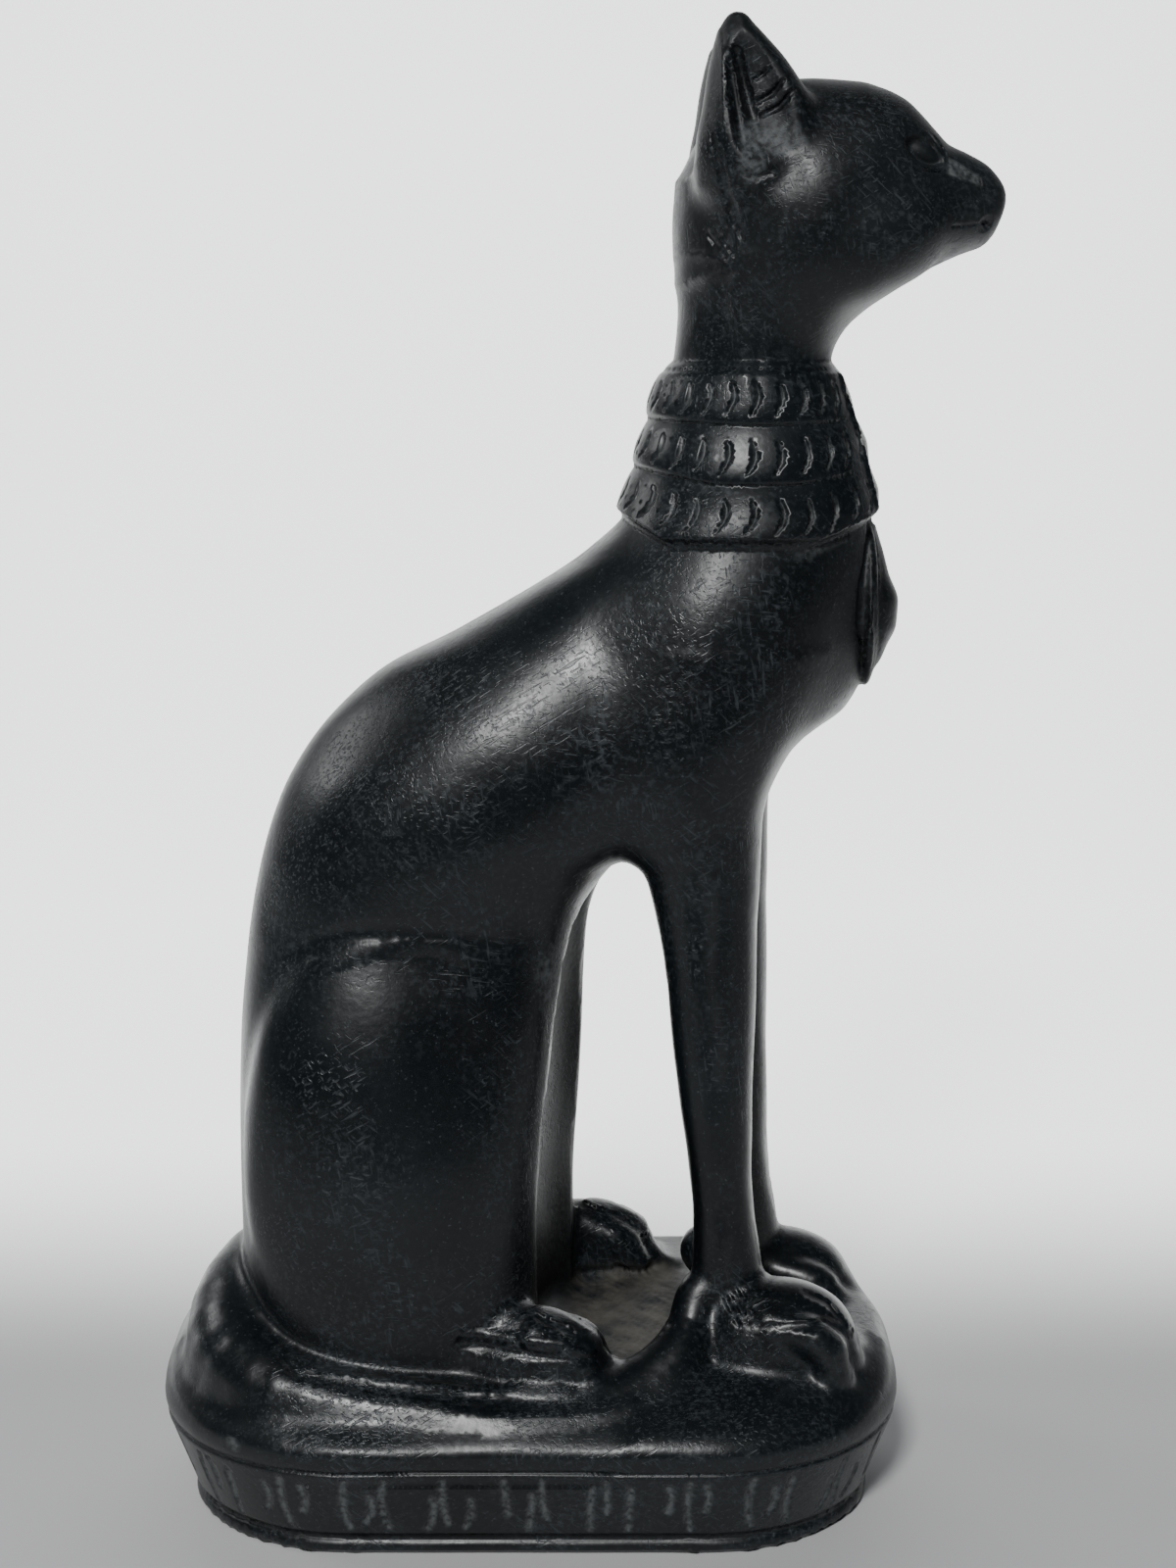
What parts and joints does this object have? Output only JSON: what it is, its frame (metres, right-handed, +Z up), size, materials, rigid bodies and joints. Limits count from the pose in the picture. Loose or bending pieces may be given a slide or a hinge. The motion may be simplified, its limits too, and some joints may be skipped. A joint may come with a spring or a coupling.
{
  "type": "bastet cat figure",
  "caption": "Seated cat carved in one block with its rounded plinth: upright ears, ringed collar, chest pendant, slim forelegs, tail swept round the side.",
  "frame": {"origin": "middle of the plinth's flat underside", "axes": "+Z up through the ears, +X the way the cat faces, +Y to the cat's left; the tail lies along the -Y side"},
  "size_m": [0.1145, 0.062, 0.2003],
  "materials": {
    "soapstone": "satin, hand polished, with fine scratches; dull and dusty in the hollows"
  },
  "bodies": {
    "root": {"bastet_cat_figure": "soapstone"}
  },
  "joints": []
}
